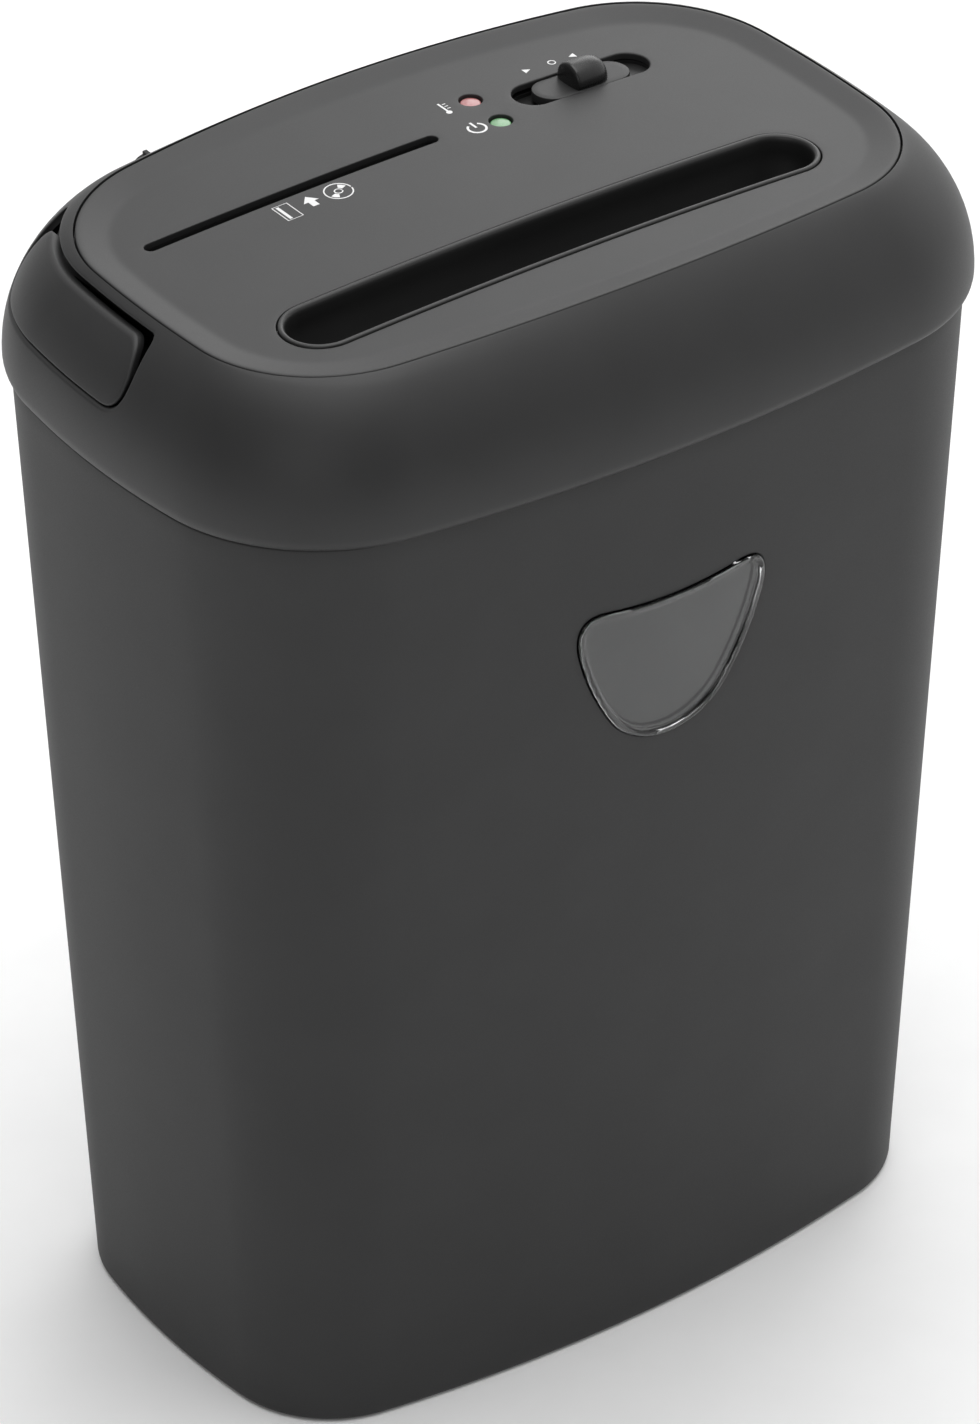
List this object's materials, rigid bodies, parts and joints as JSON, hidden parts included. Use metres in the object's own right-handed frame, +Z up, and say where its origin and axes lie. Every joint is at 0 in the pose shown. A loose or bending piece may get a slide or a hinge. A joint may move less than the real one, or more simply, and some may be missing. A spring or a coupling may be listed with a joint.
{
  "type": "paper shredder",
  "caption": "Cross-cut paper and disc shredder: a domed cutting head with slots, switch and pull-out handle on a tapered waste bin with a window.",
  "frame": {"origin": "middle of the bin's flat underside, at floor level", "axes": "+Z up, +X along the paper slot to the right, +Y to the back"},
  "size_m": [0.3698, 0.249, 0.49],
  "materials": {
    "bin_plastic": "fine-textured matte moulding",
    "head_plastic": "satin moulding",
    "throat_plastic": "dark moulding",
    "switch_plastic": "polished black",
    "clear_window": "polished clear",
    "red_lens": "translucent, unlit",
    "green_lens": "translucent, unlit",
    "rubber_black": "matte",
    "bright_steel": "machined",
    "zinc_steel": "zinc-plated sheet",
    "dark_iron": "dark",
    "bearing_bronze": "sintered",
    "gear_nylon": "natural nylon",
    "board_green": "solder mask"
  },
  "bodies": {
    "bin": {"bin_shell": "bin_plastic", "window_lens": "clear_window"},
    "rear_cutter": {"cutter_shaft_rear": "bright_steel", "cutter_blades_rear": "bright_steel", "cutter_spacers_rear": "bright_steel", "sync_gear_rear": "bright_steel", "drive_gear": "bright_steel", "take_off_gear": "gear_nylon"},
    "front_cutter": {"cutter_shaft_front": "bright_steel", "cutter_blades_front": "bright_steel", "cutter_spacers_front": "bright_steel", "sync_gear_front": "bright_steel"},
    "second_stage": {"second_gear": "bright_steel"},
    "first_stage": {"first_gear": "gear_nylon"},
    "motor_rotor": {"motor_armature": "dark_iron", "motor_shaft": "bright_steel", "motor_pinion": "bright_steel", "motor_fan": "throat_plastic"},
    "disc_idler": {"disc_idler_gear": "gear_nylon"},
    "disc_cutter_front": {"disc_roller_front": "bright_steel", "disc_drive_gear": "gear_nylon", "disc_sync_gear_front": "gear_nylon"},
    "disc_cutter_rear": {"disc_roller_rear": "bright_steel", "disc_sync_gear_rear": "gear_nylon"},
    "switch_slider": {"mode_slider": "switch_plastic"},
    "handle": {"carry_handle": "head_plastic", "handle_stops": "bright_steel"},
    "plunger": {"interlock_plunger": "throat_plastic"},
    "head": {"board_components": "throat_plastic", "board_posts": "throat_plastic", "control_board": "board_green", "cord_gland": "rubber_black", "cover_screws": "bright_steel", "disc_chute": "throat_plastic", "disc_plate": "zinc_steel", "frame_mounts": "rubber_black", "frame_plate_left": "zinc_steel", "frame_plate_right": "zinc_steel", "gear_plate": "zinc_steel", "gear_studs": "bright_steel", "handle_pocket": "throat_plastic", "head_base": "throat_plastic", "head_cover": "head_plastic", "interlock_switch": "throat_plastic", "led_overheat": "red_lens", "led_power": "green_lens", "mode_switch": "throat_plastic", "motor_can": "zinc_steel", "motor_end_cap": "throat_plastic", "motor_magnets": "dark_iron", "paper_sensor": "throat_plastic", "shaft_bushes": "bearing_bronze", "stripper_comb_front": "throat_plastic", "stripper_comb_rear": "throat_plastic", "stud_clips": "bright_steel", "switch_tray": "throat_plastic", "throat_guide": "throat_plastic", "tie_nuts": "bright_steel", "tie_rods": "bright_steel", "top_plate": "head_plastic"}
  },
  "joints": [
    {"name": "head_lift", "type": "slide", "parent": "bin", "child": "head", "axis": [0, 0, 1], "range_m": [0, 0.065]},
    {"name": "rear_cutter_spin", "type": "hinge", "parent": "head", "child": "rear_cutter", "pos_m": [0, -0.032, 0.408], "axis": [1, 0, 0], "continuous": true},
    {"name": "front_cutter_spin", "type": "hinge", "parent": "head", "child": "front_cutter", "pos_m": [0, -0.064, 0.408], "axis": [1, 0, 0], "continuous": true},
    {"name": "second_stage_spin", "type": "hinge", "parent": "head", "child": "second_stage", "pos_m": [0, 0.00465, 0.42134], "axis": [1, 0, 0], "continuous": true},
    {"name": "first_stage_spin", "type": "hinge", "parent": "head", "child": "first_stage", "pos_m": [0, 0.03966, 0.41196], "axis": [1, 0, 0], "continuous": true},
    {"name": "motor_spin", "type": "hinge", "parent": "head", "child": "motor_rotor", "pos_m": [0, 0.06824, 0.42846], "axis": [1, 0, 0], "continuous": true},
    {"name": "disc_idler_spin", "type": "hinge", "parent": "head", "child": "disc_idler", "pos_m": [0, -0.002, 0.408], "axis": [1, 0, 0], "continuous": true},
    {"name": "disc_front_spin", "type": "hinge", "parent": "head", "child": "disc_cutter_front", "pos_m": [0, 0.028, 0.408], "axis": [1, 0, 0], "continuous": true},
    {"name": "disc_rear_spin", "type": "hinge", "parent": "head", "child": "disc_cutter_rear", "pos_m": [0, 0.05, 0.408], "axis": [1, 0, 0], "continuous": true},
    {"name": "mode_switch_slide", "type": "slide", "parent": "head", "child": "switch_slider", "axis": [1, 0, 0], "range_m": [-0.009, 0.009]},
    {"name": "handle_pull", "type": "slide", "parent": "head", "child": "handle", "axis": [-1, 0, 0], "range_m": [0, 0.035]},
    {"name": "interlock_press", "type": "slide", "parent": "head", "child": "plunger", "axis": [0, 0, -1], "range_m": [0, 0.003]}
  ],
  "couplings": [
    {"joint": "front_cutter_spin", "follows": "rear_cutter_spin", "ratio": -1},
    {"joint": "second_stage_spin", "follows": "rear_cutter_spin", "ratio": -3.3333},
    {"joint": "first_stage_spin", "follows": "rear_cutter_spin", "ratio": 10.476},
    {"joint": "motor_spin", "follows": "rear_cutter_spin", "ratio": -47.143},
    {"joint": "disc_idler_spin", "follows": "rear_cutter_spin", "ratio": -1.2222},
    {"joint": "disc_front_spin", "follows": "rear_cutter_spin", "ratio": 1},
    {"joint": "disc_rear_spin", "follows": "rear_cutter_spin", "ratio": -1},
    {"joint": "interlock_press", "follows": "head_lift", "ratio": 0.046154}
  ]
}
